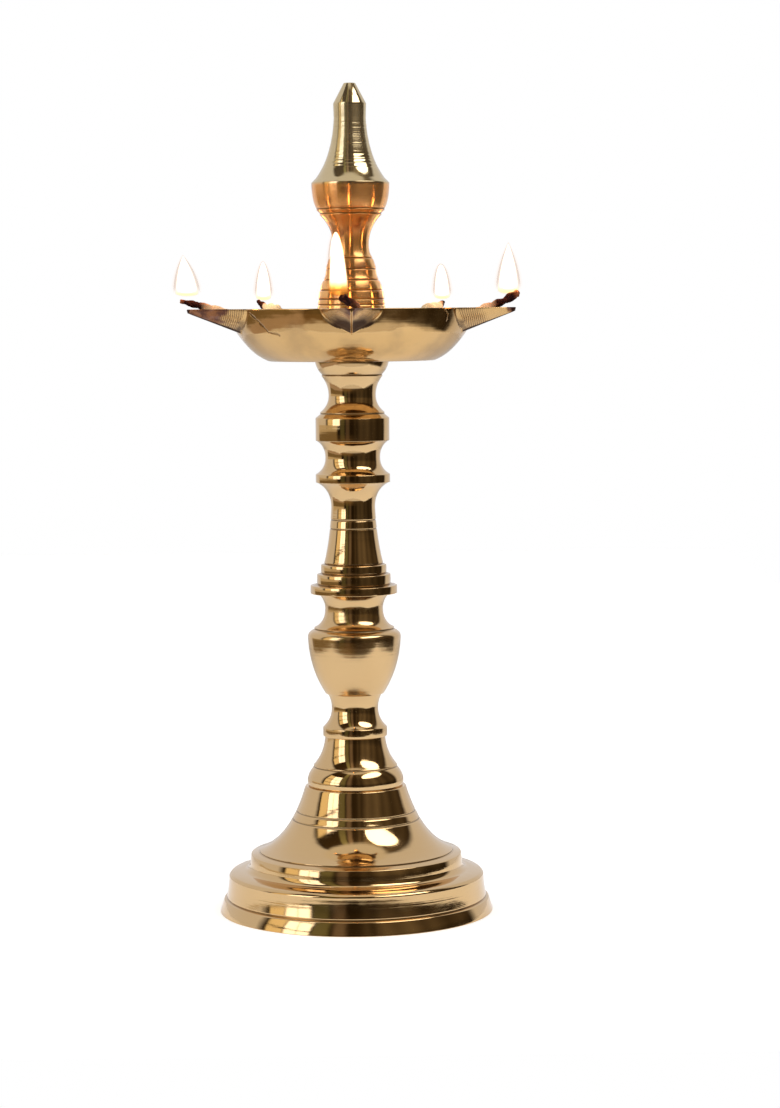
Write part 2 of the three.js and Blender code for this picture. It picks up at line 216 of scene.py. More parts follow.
def buildWorld():
    s = studio
    world = bpy.data.worlds.new("studioRoom")
    bpy.context.scene.world = world
    world.use_nodes = True
    shading["tree"] = world.node_tree
    shading["tree"].nodes.clear()
    direction = addNode("TexCoord").outputs["Generated"]
    x, y, z = split(direction)
    turn = calc("ARCTAN2", x, times(y, -1.0))
    place = timesPlus(turn, 0.5 / math.pi, 0.5)
    lift = calc("DEGREES", calc("ARCSINE", z))

    def ramp(stops):
        return colourRamp(place, [(0.5 + degrees / 360, colour) for degrees, colour in stops])

    def named(what):
        return [(degrees, s[name]) for degrees, name in s[what]]

    def seenBetween(what):
        return ramp(zip(s[what], [(0, 0, 0), (1, 1, 1), (1, 1, 1), (0, 0, 0)]))

    def band(low, high, soft):
        start = fadeIn(lift, low - soft, low + soft)
        return times(start, fadeIn(lift, high + soft, high - soft))

    shelves = []
    for degrees, level in s["shelves"]:
        wood = [dark + level * (light - dark) for dark, light in zip(s["woodDark"], s["wood"])]
        shelves.append((degrees, wood))
    room = ramp([*named("around"), *shelves, *named("behind")])
    halves = [(0.5 + degrees / 180, [level / 2] * 3) for degrees, level in s["heights"]]  # a ramp ends at 1
    levels = colourRamp(timesPlus(lift, 1 / 180, 0.5), halves)
    levels = blendColours(1.0, levels, (2, 2, 2), "MULTIPLY")
    room = blendColours(seenBetween("inside"), room, levels, "MULTIPLY")
    below = times(fadeIn(lift, *s["carpetDown"]), seenBetween("ahead"))
    room = blendColours(below, room, ramp(named("carpet")))
    room = blendColours(fadeIn(lift, *s["sweepDown"]), room, s["sweep"])
    leftSide = seenBetween("leftSide")
    for low, high, name in s["leftBands"]:
        room = blendColours(times(band(low, high, 0.6), leftSide), room, s[name])
    rails = calc("ADD", *[band(low, high, 0.5) for low, high in s["rails"]])
    glass = blendColours(rails, ramp(named("glass")), s["rail"], "MULTIPLY")
    room = blendColours(band(*s["windowBand"], 0.8), room, glass, "LIGHTEN")
    room = blendColours(fadeIn(lift, *s["ceilingUp"]), room, s["ceiling"])
    ray = addNode("LightPath")
    seen = calc("MAXIMUM", ray.outputs["Is Camera Ray"], ray.outputs["Is Transmission Ray"])
    colour = blendColours(seen, room, (1, 1, 1))  # the camera sees plain white
    setSurface(addNode("Background", {}, {"Color": colour, "Strength": 1.0}), "OutputWorld")


table = {
    "colour": (0.86, 0.85, 0.83),
    "front": 215,  # how far it reaches towards the camera
    "side": 340,
    "back": 1600,
    "litTo": (0.42, 0.05),  # lit less towards the back
    "seen": 0.52,  # glow that keeps it white in the picture
    "mirrored": 0.38,  # and this much in the brass, where it looks cooler
    "cool": (0.94, 1.03, 1.20),
}


def buildTable():
    t = table
    middle = axisY + (t["back"] - t["front"]) / 2 * mm
    bpy.ops.mesh.primitive_plane_add(size=1, location=(0, middle, 0))
    top = bpy.context.object
    top.name = "whiteTable"
    top.scale = (2 * t["side"] * mm, (t["front"] + t["back"]) * mm, 1)
    bpy.ops.object.transform_apply(location=True, rotation=True, scale=True)
    top.data.materials.append(newMaterial("whitePaper"))
    ray = addNode("LightPath")
    depth = split(objectPlace())[1]
    glossy = times(ray.outputs["Is Glossy Ray"], fadeIn(depth, *t["litTo"]))
    seen = calc("ADD", ray.outputs["Is Camera Ray"], ray.outputs["Is Transmission Ray"])
    strength = timesPlus(glossy, t["mirrored"], times(seen, t["seen"]))
    colour = blendColours(ray.outputs["Is Glossy Ray"], (1, 1, 1), t["cool"])
    glow = addNode("Emission", {}, {"Color": colour, "Strength": strength})
    setSurface(addShaders(glow, addNode("BsdfDiffuse", {}, {"Color": t["colour"]})))


# Angles round from straight ahead and up from level, and metres
aimHeight = 0.15
lamps = {
    "softbox": {"azimuth": 57, "elevation": 52, "distance": 1.5, "width": 1.35, "height": 0.58,
                "strength": 4.2, "colour": (1, 1, 1), "mirrored": True},
    "windowGlow": {"azimuth": -60, "elevation": 25, "distance": 2.4, "width": 0.9, "height": 1.6,
                   "strength": 1.0, "colour": (1, 0.97, 0.88), "mirrored": False},
}


def hangLamp(name):
    shape = lamps[name]
    a, e = math.radians(shape["azimuth"]), math.radians(shape["elevation"])
    towards = Vector((math.sin(a) * math.cos(e), -math.cos(a) * math.cos(e), math.sin(e)))
    aim = Vector((0, axisY, aimHeight))
    bpy.ops.object.light_add(type="AREA", location=aim + towards * shape["distance"])
    lamp = bpy.context.object
    lamp.name = name
    lamp.rotation_euler = (-towards).to_track_quat("-Z", "Y").to_euler()
    lamp.data.shape = "ELLIPSE"
    lamp.data.size = shape["width"]
    lamp.data.size_y = shape["height"]
    area = math.pi / 4 * shape["width"] * shape["height"]
    lamp.data.energy = shape["strength"] * math.pi * area  # strength 1 shines as bright as white paper
    lamp.data.color = shape["colour"]
    lamp.visible_glossy = shape["mirrored"]


buildWorld()
buildTable()
for name in lamps:
    hangLamp(name)
print("studio built")


brassLook = {
    "colour": (0.69, 0.475, 0.240),
    "warm": (0.62, 0.385, 0.165),  # thin tarnish
    "tarnish": 0.45,
    "grimeRough": 0.35,
    "streaks": {"relief": 0.5, "tone": 0.22, "rough": 0.05},  # where it was rubbed up and down
    "rough": 0.045,
    "smear": 0.055,  # how much duller the hand marks are
    "fineRings": 0.5,  # turning marks, in hundredths of a millimetre
    "wideRings": 2.2,
    "dents": 5.0,
    "waves": 12.0,  # how far the surface is out of true
    "metallic": 1.0,
    "clouded": False,  # with dull patches
    "files": 0,  # file marks across the spouts
    "flamed": 0,  # the flames' orange light is painted on as a copper colour, and it is duller, up to this height
    "ridged": (0, 0),  # between these heights coarse turning marks draw the reflections out
}
# Scale and detail of each pattern, and from where to where it fades in
patterns = {
    "fineRings": (2300, 2),
    "wideRings": (620, 2),
    "polish": (38, 2, 0.36, 0.66),  # fine rings are left only here
    "smears": (85, 4, 0.44, 0.70),
    "streaks": (150, 3),
    "dents": (110, 2),
    "waves": (42, 1),
    "tarnish": (55, 5),
    "clouds": (75, 6, 0.44, 0.74),
    "copper": (60, 3, 0.35, 0.65),
    "burns": (125, 5, 0.52, 0.64),
    "fileWander": (170, 3),
    "fileGaps": (150, 2, 0.22, 0.42),
    "scratchEdge": (480, 3),
    "heatEdge": (240, 4),
    "sootEdge": (300, 4),
    "pink": (420, 3, 0.50, 0.66),
    "deep": (190, 3, 0.40, 0.54),
}
# Share and colour of what lies on the brass
tints = {
    "grimeAndShade": (0.85, (0.095, 0.052, 0.020)),  # old polish left in the lines, and painted shade in their bottoms
    "cloud": (0.38, (0.30, 0.19, 0.10)),
    "burn": (0.7, (0.36, 0.13, 0.05)),
    "cut": (0.80, (0.17, 0.095, 0.045)),
    "scratch": (0.72, (0.17, 0.085, 0.032)),
    "heat": (0.86, (0.23, 0.078, 0.034)),
    "deep": (0.72, (0.075, 0.034, 0.032)),
    "pink": (0.25, (0.46, 0.27, 0.22)),
    # soot near the flames, with painted shade where the spouts meet the bowl
    "soot": (0.94, (0.042, 0.015, 0.009)),
}
# Scratches on the bowl, as degrees round from the front and height in millimetres
scratches = {
    "radius": 43,
    "long": ((-57.3, 222.4), (-50.3, 218.7), (-46.6, 216.6), (-44.5, 214.8), (-38.3, 213.8)),
    "nick": ((49.1, 222.2), (52.1, 220.4), (52.0, 218.3)),
    "width": (1.4, 0.75),  # nothing at the first distance, full at the second
    "depth": 14.0,
}
surface = {}  # the brass that is being made: its colour, roughness, relief and places on it


def tint(where, share, colour):
    surface["colour"] = blendColours(times(where, share), surface["colour"], colour)


def roughen(where, amount):
    surface["rough"] = timesPlus(where, amount, surface["rough"])


def emboss(where, amount):
    surface["relief"] = timesPlus(where, amount, surface["relief"])


def pattern(name):
    scale, detail, *fade = patterns[name]
    spots = blotches(surface["place"], scale, detail)
    return fadeIn(spots, *fade) if fade else spots


# The same all round the lamp, and along the outline
def ringPattern(name):
    scale, detail = patterns[name]
    sockets = {"W": surface["outline"], "Scale": scale, "Detail": detail}
    return addNode("TexNoise", {"noise_dimensions": "1D"}, sockets).outputs["Fac"]


# How far in millimetres a place is from a broken line
def awayFrom(place, points):
    nearest = 99.0
    points = [Vector((math.radians(degrees) * scratches["radius"], height, 0)) for degrees, height in points]
    for start, end in zip(points, points[1:]):
        way = end - start
        out = vectorCalc("SUBTRACT", {0: place, 1: start})[0]
        share = vectorCalc("DOT_PRODUCT", {0: out, 1: way / way.length_squared})["Value"]
        share = addNode("Clamp", {}, {0: share}).outputs[0]
        reached = vectorCalc("SCALE", {0: way, "Scale": share})[0]
        nearest = calc("MINIMUM", vectorCalc("DISTANCE", {0: out, 1: reached})["Value"], nearest)
    return nearest


# The lower finial stands among the flames, whose orange light on it is painted as a copper colour
flamedLook = {
    "copper": (0.98, 0.53, 0.19), "darker": (0.90, 0.42, 0.13), "rough": 0.12, "ridgeRough": 0.13,
    "top": (0.8, -0.8), "ridgeStart": (-3, 2), "ridgeEnd": (0.3, -0.3),  # over how many mm each fades in
}


def paintFlameLight(top, low, high):
    look = flamedLook

    def fadeAt(height, edge):
        return fadeIn(surface["height"], *[(height + shift) * mm for shift in look[edge]])

    near = fadeAt(top, "top")
    brass = surface["colour"]
    # painted reflection of the flames' orange light, with darker blotches in it
    surface["colour"] = blendColours(pattern("copper"), look["copper"], look["darker"])
    tint(pattern("burns"), *tints["burn"])
    surface["colour"] = blendColours(near, brass, surface["colour"])
    ridged = times(fadeAt(low, "ridgeStart"), fadeAt(high, "ridgeEnd"))
    roughen(near, look["rough"])
    roughen(ridged, look["ridgeRough"])
    return near, ridged


spoutLook = {
    "start": (44.4, 45.4),  # radius at which the file marks begin
    "worn": (54, 49),  # and between which handling has worn them away
    "wornLeft": 0.25,
    "strokeGap": 0.8,
    "wander": 11.0,  # how far the strokes leave their line
    "rough": 0.10,
    "heatRough": 0.26,
    "heatRagged": (0.9, -0.45),  # how far the pattern moves its edge
    "heatFade": (0.12, 0.50),
    "heatEnd": (0.02, 0.12),
    "sootAndShadeRough": 0.3,
    "sootRagged": (0.5, -0.25),
    "sootFade": (0.05, 0.6),
    "sootEnd": (0.0, 0.08),
    "sootAndShadeMetal": (-0.95, 1.0),  # soot, and the painted shade with it, is not a metal and hardly shines
    "sootAndShadeShine": (-0.42, 0.5),
}


def fileSpouts(depth):
    look, radius = spoutLook, surface["radius"]
    onSpout = fadeIn(radius, *[edge * mm for edge in look["start"]])
    wander = times(pattern("fileWander"), look["wander"])
    phase = timesPlus(painted("stroke"), 2 * math.pi / look["strokeGap"], wander)
    marks = timesPlus(calc("SINE", phase), 0.5, 0.5)
    worn = fadeIn(radius, *[edge * mm for edge in look["worn"]])
    worn = timesPlus(worn, 1 - look["wornLeft"], look["wornLeft"])
    marks = times(times(marks, times(worn, pattern("fileGaps"))), onSpout)
    tint(fadeIn(marks, 0.1, 0.8), *tints["cut"])
    turn = calc("ARCTAN2", *split(surface["place"])[:2])
    turn = times(calc("SUBTRACT", math.pi, calc("ABSOLUTE", turn)), calc("SIGN", turn))
    unrolled = {0: times(turn, scratches["radius"]), 1: times(surface["height"], 1 / mm)}
    unrolled = addNode("CombineXYZ", {}, unrolled).outputs[0]
    away = calc("MINIMUM", *[awayFrom(unrolled, scratches[mark]) for mark in ("long", "nick")])
    scratch = fadeIn(timesPlus(pattern("scratchEdge"), 1.5, away), *scratches["width"])
    tint(scratch, *tints["scratch"])
    emboss(scratch, -scratches["depth"])
    emboss(marks, depth)
    roughen(onSpout, look["rough"])


def smokeAndShadeSpouts():
    def ragged(mark, name):
        edge = calc("ADD", mark, timesPlus(pattern(name + "Edge"), *spoutLook[name + "Ragged"]))
        return times(fadeIn(edge, *spoutLook[name + "Fade"]), fadeIn(mark, *spoutLook[name + "End"]))

    heat, soot = ragged(painted("smoked"), "heat"), ragged(painted("keel"), "soot")
    tint(heat, *tints["heat"])
    tint(times(pattern("deep"), heat), *tints["deep"])
    tint(times(pattern("pink"), heat), *tints["pink"])
    # soot, and painted shade in the spouts' corners
    tint(soot, *tints["soot"])
    roughen(soot, spoutLook["sootAndShadeRough"])
    roughen(heat, spoutLook["heatRough"])
    return soot


def makeBrass(name, **changes):
    look = {**brassLook, **changes}
    material = newMaterial(name)
    coords = objectPlace()
    centred = addNode("Mapping", {}, {"Vector": coords, "Location": (0, -axisY, 0)}).outputs[0]
    flat = vectorCalc("MULTIPLY", {0: centred, 1: (1, 1, 0)})[0]
    surface["place"] = centred
    surface["radius"] = vectorCalc("LENGTH", {0: flat})["Value"]
    surface["height"] = split(coords)[2]
    surface["outline"] = timesPlus(surface["radius"], 0.63, surface["height"])
    stretched = addNode("Mapping", {}, {"Vector": centred, "Scale": (1, 1, 26)}).outputs[0]
    streaks = blotches(stretched, *patterns["streaks"])
    grimeAndShade = painted("grimeAndShade")

    surface["relief"] = times(times(ringPattern("fineRings"), look["fineRings"]), pattern("polish"))
    emboss(ringPattern("wideRings"), look["wideRings"])
    emboss(pattern("dents"), look["dents"])
    emboss(pattern("waves"), look["waves"])
    emboss(streaks, look["streaks"]["relief"])
    tone = timesPlus(streaks, look["streaks"]["tone"], times(pattern("tarnish"), look["tarnish"]))
    surface["colour"] = blendColours(tone, look["colour"], look["warm"])
    surface["rough"] = timesPlus(pattern("smears"), look["smear"], look["rough"])
    roughen(streaks, look["streaks"]["rough"])
    if look["clouded"]:
        tint(pattern("clouds"), *tints["cloud"])
    sockets = {"Metallic": look["metallic"]}
    if look["flamed"]:  # rubbed up and down, which draws each flame out into a streak
        near, ridged = paintFlameLight(look["flamed"], *look["ridged"])
        sockets["Metallic"] = timesPlus(near, -0.08, look["metallic"])
        sockets["Anisotropic"] = timesPlus(ridged, 0.9, near)
        sockets["Tangent"] = addNode("CombineXYZ", {}, {2: 1.0}).outputs[0]
    if look["files"]:
        fileSpouts(look["files"])
        soot = smokeAndShadeSpouts()
        sockets["Metallic"] = timesPlus(soot, *spoutLook["sootAndShadeMetal"])
        sockets["Specular IOR Level"] = timesPlus(soot, *spoutLook["sootAndShadeShine"])
    # old polish and painted shade darken the bottom of each turned line
    tint(grimeAndShade, *tints["grimeAndShade"])
    roughen(grimeAndShade, look["grimeRough"])
    relief = addNode("Bump", {}, {"Strength": 1.0, "Distance": 0.01 * mm, "Height": surface["relief"]})
    sockets.update({"Base Color": surface["colour"], "Roughness": surface["rough"],
                    "Normal": relief.outputs[0]})
    setSurface(addNode("BsdfPrincipled", {}, sockets))
    return material


pen = {"radius": 0, "height": 0, "lines": []}


def selectOnly(*pieces):
    bpy.ops.object.select_all(action="DESELECT")
    for piece in pieces:
        piece.select_set(True)
        bpy.context.view_layer.objects.active = piece


def penTo(radius, height):
    move = ((radius - pen["radius"]) * mm, 0, (height - pen["height"]) * mm)
    bpy.ops.mesh.extrude_region_move(TRANSFORM_OT_translate={"value": move})
    pen["radius"] = radius
    pen["height"] = height


# A profile starts as one point at its radius and height, and is drawn on from there
def startOutline(name, radius, height):
    selectOnly()
    bpy.ops.mesh.primitive_plane_add(size=mm, location=(radius * mm, axisY, height * mm))
    bpy.context.object.name = name
    bpy.ops.object.transform_apply(location=True, rotation=True, scale=True)
    bpy.ops.object.mode_set(mode="EDIT")
    bpy.ops.mesh.select_all(action="SELECT")
    bpy.ops.mesh.merge(type="CENTER")
    pen["radius"] = radius
    pen["height"] = height
    pen["lines"] = []


def stepTo(radius, rise=0):
    penTo(radius, pen["height"] + rise)


# Straight out or in to a radius, and then straight up or down
def bandTo(radius, rise):
    stepTo(radius)
    stepTo(radius, rise)


# A curve, given by the point that pulls it and by its end, with their heights above its start
def alongBend(t, startRadius, startHeight, pullRadius, pullRise, radius, rise):
    across = (1 - t) ** 2 * startRadius + 2 * t * (1 - t) * pullRadius + t * t * radius
    return across, startHeight + (2 * t * (1 - t) * pullRise + t * t * rise)


def bendTo(pullRadius, pullRise, radius, rise, steps=18, lines=(), ridgesFrom=None):
    startRadius, startHeight = pen["radius"], pen["height"]
    marks = random.Random(7)
    points = []
    for i in range(1, steps + 1):
        across, up = alongBend(i / steps, startRadius, startHeight, pullRadius, pullRise, radius, rise)
        if ridgesFrom is not None and up > startHeight + ridgesFrom and i % 2 and i < steps:
            across -= turning["ridge"] * marks.uniform(0.3, 1)
        points.append((up, across))
    for line in lines:  # each line is cut at its height above the start of the bend
        middle = startHeight + line
        half = turning["lineWidth"] / 2
        heights = [startHeight] + [p[0] for p in points]
        radii = [startRadius] + [p[1] for p in points]
        cut = [(h, float(np.interp(h, heights, radii))) for h in (middle - half, middle, middle + half)]
        cut[1] = (middle, cut[1][1] - turning["lineDepth"])
        points = sorted([p for p in points if abs(p[0] - middle) > half] + cut)
        pen["lines"].append((cut[1][1], middle))
    for up, across in points:
        penTo(across, up)


# A turned line, which may also be the sharp inner corner of a step to another radius
def turnedLine(radius=None):
    radius = pen["radius"] if radius is None else radius
    bottom = min(radius, pen["radius"]) - turning["lineDepth"]
    stepTo(bottom, turning["lineWidth"] / 2)
    pen["lines"].append((pen["radius"], pen["height"]))
    stepTo(radius, turning["lineWidth"] / 2)


def easeCorners(amount):
    mesh = bmesh.from_edit_mesh(bpy.context.object.data)
    for vert in mesh.verts:
        vert.select = False
        if len(vert.link_edges) == 2 and vert.co.x > turning["easedBeyond"] * mm:
            a, b = [edge.other_vert(vert).co - vert.co for edge in vert.link_edges]
            if a.length > 0 and b.length > 0:
                vert.select = 180 - math.degrees(a.angle(b)) > turning["cornerFrom"]
    mesh.select_flush_mode()
    bmesh.update_edit_mesh(bpy.context.object.data)
    bpy.ops.mesh.bevel(offset=amount * mm, segments=3, affect="VERTICES")


def smoothFaces():
    bpy.ops.object.shade_smooth_by_angle(angle=math.radians(turning["smoothUpTo"]))


def spinOutline(columns, edge=turning["edge"]):
    easeCorners(edge)
    bpy.ops.mesh.select_all(action="SELECT")
    bpy.ops.mesh.spin(steps=columns, angle=2 * math.pi, center=(0, axisY, 0), axis=(0, 0, 1))
    bpy.ops.mesh.select_all(action="SELECT")
    bpy.ops.mesh.remove_doubles(threshold=turning["mergeWithin"] * mm)
    bpy.ops.mesh.normals_make_consistent(inside=False)
    bpy.ops.object.mode_set(mode="OBJECT")
    piece = bpy.context.object
    markGrimeAndShade(piece, pen["lines"])
    smoothFaces()
    return piece


def readPlaces(piece, what="co"):
    values = np.empty(len(piece.data.vertices) * 3)
    piece.data.vertices.foreach_get(what, values)
    return values.reshape(-1, 3)


def setPlaces(piece, places):
    piece.data.vertices.foreach_set("co", places.ravel())
    piece.data.update()


# Gives each vertex a value that the material reads
def paint(piece, name, values):
    piece.data.attributes.new(name, "FLOAT", "POINT").data.foreach_set("value", values)


# Old polish lies in the bottom of each line, and shade is painted there as well
def markGrimeAndShade(piece, lines):
    places = readPlaces(piece)
    radii = np.hypot(places[:, 0], places[:, 1] - axisY) / mm
    heights = places[:, 2] / mm
    amount = np.zeros(len(places))
    for radius, height in lines:
        away = np.hypot(radii - radius, heights - height)
        amount = np.maximum(amount, np.clip(1.25 - away / turning["grimeAndShadeWidth"], 0, 1))
    paint(piece, "grimeAndShade", amount)


def dress(piece, material, body, node):
    piece.data.materials.clear()
    piece.data.materials.append(material)
    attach(piece, body)
    if node:
        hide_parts(node)


# Stands in the socket below
def drawSpigot():
    bandTo(turning["spigotRadius"], turning["spigotLength"])


def drawSocket():
    bandTo(turning["spigotRadius"] + turning["socketGap"], -turning["spigotLength"] - turning["socketEnd"])
    stepTo(0)


footBrass = makeBrass("footBrass", dents=6.0, waves=26.0)
stemBrass = makeBrass("stemBrass")
urnBrass = makeBrass("urnBrass", rough=0.115, smear=0.10, dents=9.0, waves=24.0)
finialBrass = makeBrass("finialBrass", colour=(0.67, 0.545, 0.325), warm=(0.60, 0.45, 0.24), tarnish=0.6,
                        rough=0.06, metallic=0.90, flamed=268.2, ridged=(281, 297))
bowlBrass = makeBrass("bowlBrass", colour=(0.69, 0.442, 0.190), warm=(0.61, 0.37, 0.145), clouded=True,
                      tarnish=0.7, rough=0.075, smear=0.09, dents=20.0, waves=50.0, wideRings=1.5, files=9.0)
insideBrass = makeBrass("unpolishedBrass", rough=0.42, tarnish=0.9, wideRings=12.0, dents=30.0)

# A pair is a radius and a rise, and a longer row is a bend
foot = {
    "rimRadius": 50.8, "rimTop": (49.2, 4.9), "bandRadius": 48.2, "band": (47.4, 4.4, 47.3, 8),
    "edgeBreak": 0.9, "ledge": (42.3, 0.9), "cove": (39.4, 0, 39.4, 3, 12), "tierTop": (39, 3.1),
    "shelf": (36.6, 0.5), "bellRadius": 36, "bell": (24.5, 4.2, 18.6, 23.9, 44),
    "lineDrops": (12.4, 9.4),  # the two lines on the bell, below its top
    "wall": 3.2, "crownRadius": 17, "crownThick": 11, "innerSteps": 20, "columns": 192, "edge": 0.3,
    "hollowRadius": 44.2,  # faces of the underside within this radius stay unpolished
}


def turnFoot():
    f, wall = foot, foot["wall"]
    bandTopRadius, tierTopRadius = f["band"][2], f["tierTop"][0]
    pullRadius, pullRise = f["bell"][:2]
    startOutline("bellFoot", bandTopRadius - wall, 0)
    stepTo(f["rimRadius"])
    stepTo(*f["rimTop"])
    turnedLine(f["bandRadius"])
    bendTo(*f["band"])
    stepTo(bandTopRadius - f["edgeBreak"], f["edgeBreak"])
    bandTop = pen["height"]
    stepTo(*f["ledge"])
    bendTo(*f["cove"])
    stepTo(*f["tierTop"])
    tierTop = pen["height"]
    stepTo(*f["shelf"])
    turnedLine(f["bellRadius"])
    bellFoot = pen["height"]
    bendTo(*f["bell"], [f["bell"][3] - drop for drop in f["lineDrops"]])
    crown = pen["height"] - f["crownThick"]
    bandTo(turning["spigotRadius"] + turning["socketGap"], -f["crownThick"])
    stepTo(f["crownRadius"])
    inner = bellFoot - wall - crown
    bendTo(pullRadius - wall, inner + pullRise, f["bellRadius"] - wall, inner, f["innerSteps"])
    penTo(tierTopRadius - wall, tierTop - wall)
    penTo(tierTopRadius - wall, bandTop - wall)
    penTo(bandTopRadius - wall, bandTop - wall)
    penTo(bandTopRadius - wall, 0)
    piece = spinOutline(f["columns"], f["edge"])
    dress(piece, footBrass, "stand", "foot")
    piece.data.materials.append(insideBrass)
    for face in piece.data.polygons:
        x, y, z = face.center.x, face.center.y - axisY, face.center.z
        facesIn = face.normal.x * x + face.normal.y * y < 0 or face.normal.z < -0.3
        if z < (crown + 0.3) * mm and facesIn and math.hypot(x, y) < f["hollowRadius"] * mm:
            face.material_index = 1


turnFoot()
print("foot turned")

# Each row of an outline is a stroke of the pen with its radius and rise, after those of the pull in a bend
knop = {
    "outline": (
        (drawSpigot,), (stepTo, 17.5), (bendTo, 18.6, 3.6, 15.6, 6.9), (turnedLine,),  # seat and swelling
        (bendTo, 11.6, 4.4, 11.1, 11, 22), (drawSocket,),  # neck
    ),
}
collar = {
    "columns": 112,
    "outline": (
        (drawSpigot,), (bandTo, 11.9, 3.2),
        (bendTo, 8.5, 3.1, 8.6, 7.4), (bendTo, 8.6, 2.3, 10, 5.1), (drawSocket,),  # neck
    ),
}
urn = {
    "outline": (
        (drawSpigot,), (stepTo, 10.7), (bendTo, 16.8, 9.4, 17.2, 21.3, 26),  # belly
        (bendTo, 17.2, 1.7, 14.9, 2.6, 14), (turnedLine,),  # shoulder
        (bendTo, 10.7, 1.8, 10.7, 7.2), (bendTo, 10.7, 3, 13.2, 5.5), (drawSocket,),  # neck
    ),
}
column = {
    "outline": (
        (drawSpigot,), (bandTo, 16, 3), (turnedLine, 13.6),  # flange
        (stepTo, 13.6, 3.4), (turnedLine, 12.1), (stepTo, 12.1, 2.8), (turnedLine, 10.9),  # two steps
        (bendTo, 8.6, 9, 8.1, 20.5, 24, (12.6, 15.9)),  # shaft, with two lines at these heights on it
        (bendTo, 8.1, 6.6, 13.3, 9.2), (drawSocket,),
    ),
}
baluster = {
    "outline": (
        (drawSpigot,), (bandTo, 13.7, 3), (bendTo, 10.1, 2, 10.1, 6.1),  # flange and lower neck
        (bendTo, 10.1, 4.3, 13.3, 6.3), (bandTo, 13.6, 8.3), (stepTo, 12, 1.3), (turnedLine,),  # band
        (bendTo, 8.7, 2.5, 8.7, 6.3), (bendTo, 8.7, 3.9, 11.3, 7.2), (turnedLine,),  # upper neck and cup
        (bendTo, 13.3, 2.1, 13.6, 4.8, 12),
        (bandTo, 4.5, 6.4), *((stepTo, 4.2, 0.5), (stepTo, 4.5, 0.5)) * 9,  # tenon, with nine turns of thread
        (stepTo, 3.9, 0.6), (stepTo, 0),
    ),
}


def turnSection(name, shape, brass, body="stand"):
    startOutline(name + "Section", 0, seat[name] + shape.get("start", -turning["spigotLength"]))
    for draw, *values in shape["outline"]:
        draw(*values)
    dress(spinOutline(shape.get("columns", turning["columns"])), brass, body, name)


turnSection("knop", knop, stemBrass)
turnSection("collar", collar, stemBrass)
turnSection("urn", urn, urnBrass)
turnSection("column", column, stemBrass)
turnSection("baluster", baluster, stemBrass)
print("stem turned")

bowl = {
    "floorRadius": 30.5, "bilge": (36.6, 2.2, 42, 10.3), "rim": (43.4, 2.9, 44.3, 8.8),
    "bilgeSteps": 30, "rimSteps": 26, "innerSteps": 16,
    "wall": 1.8, "floorThick": 2.6, "bossRadius": 16, "bossHeight": 5.2, "bossFillet": 1.2, "bore": 4.9,
    "wallAbove": 1.2, "wallBeyond": 28,  # over the floor and out from the axis, where the wall is moved
    "columns": 640, "edge": 0.35,
    # share of the way from a spout's middle to the next gap: most columns stand where the spouts join
    "columnPlaces": ((0, 0), (0.12, 0.035), (0.80, 0.42), (1, 1)),
}
spout = {
    "count": 5, "rootRadius": 36, "rootHalfWidth": 14.2, "rootDepth": 11.2,
    "tipRadius": 62, "tipHalfWidth": 1.2, "tipDepth": 1.4,
    "wall": 1.5, "lip": 2.6, "lipDepth": 1,
    "fullness": 1.9, "tipFullness": 1.3,  # 1 is a plain V, more is a shield
    "keelRound": 0.22, "troughRound": 0.7, "fillet": 0.9, "innerFillet": 2.4,
    "searchFrom": 24, "halvings": 26,
}
# Where the flames have marked each spout, and where shade is painted on it, by the radius out from the lamp
# and the share of the spout's depth
smokeAndShade = {
    # from where heat has coloured it, from where in full, from where it is black, and how deep soot begins
    "spouts": ((50, 72, 66, 0.25), (59, 62, 60.6, 0.9), (52, 60, 61, 0.88), (51, 60, 61, 0.88),
               (48, 55, 61.3, 0.88)),
    "keelWorn": (0.3, 0.55),  # the clean line that handling leaves on the front keel
    "rootSootAndShade": (57, 48),  # on the front, the black is kept where the spout meets the bowl: soot, and painted shade in that join
    "corner": 0.36, "cornerEnds": (46.2, 44.2), "cornerDepth": (0.3, 0.6),  # dirt that polish misses
    "markedFrom": 42.5, "markedWidth": 16, "strokeSlope": 0.51,
}
troughTan = spout["rootHalfWidth"] / spout["rootDepth"]
troughDepth = spout["rootDepth"] - spout["wall"] / math.sin(math.atan(troughTan))
lipRadius = spout["tipRadius"] - spout["lip"]
troughSlope = (troughDepth - spout["lipDepth"]) / (lipRadius - spout["rootRadius"])


# A value at a radius out from the lamp, which runs evenly from the spout's root to its tip
def rootToTip(along, atRoot, atTip):
    t = (along - spout["rootRadius"]) / (spout["tipRadius"] - spout["rootRadius"])
    return atRoot + t * (atTip - atRoot)


# Half the width of the spout's outside at a radius out from the lamp, this far below the rim
def spoutHalfWidth(along, depth):
    s = spout
    atRim = rootToTip(along, s["rootHalfWidth"], s["tipHalfWidth"])
    deepest = rootToTip(along, s["rootDepth"], s["tipDepth"])
    fullness = rootToTip(along, s["fullness"], s["tipFullness"])
    share = np.maximum(depth / deepest, 0)
    return np.where(share < 1, atRim * (1 - share ** fullness), 3 * (deepest - depth))


def troughHalfWidth(along, depth):
    deepest = troughDepth - (along - spout["rootRadius"]) * troughSlope
    return (deepest - depth) * troughTan


